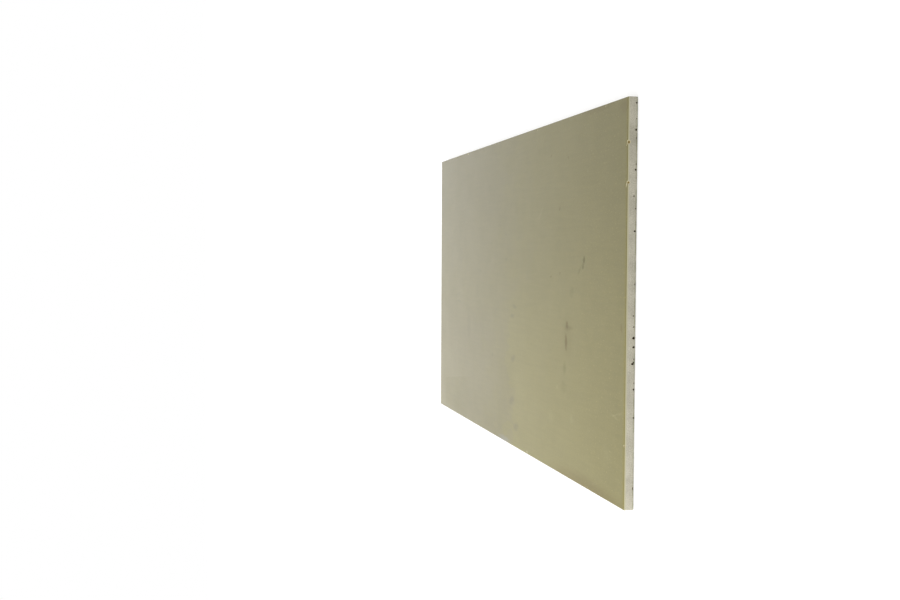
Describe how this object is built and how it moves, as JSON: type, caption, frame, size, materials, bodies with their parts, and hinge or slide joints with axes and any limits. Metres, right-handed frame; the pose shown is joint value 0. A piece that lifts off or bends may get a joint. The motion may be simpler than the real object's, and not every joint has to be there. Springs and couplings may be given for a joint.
{
  "type": "faux stone wall panel",
  "caption": "Thin flat rectangular cladding panel cast in one piece, with a smooth matt face, softly rounded arrises and small air pits along its edges.",
  "frame": {"origin": "centre of the back, which the panel rests on", "axes": "+X along the length, +Y across the width, +Z out of the face, up when the panel lies on its back"},
  "size_m": [1.2, 0.6, 0.015],
  "materials": {
    "cast_stone": "matte"
  },
  "bodies": {
    "root": {"panel": "cast_stone"}
  },
  "joints": []
}
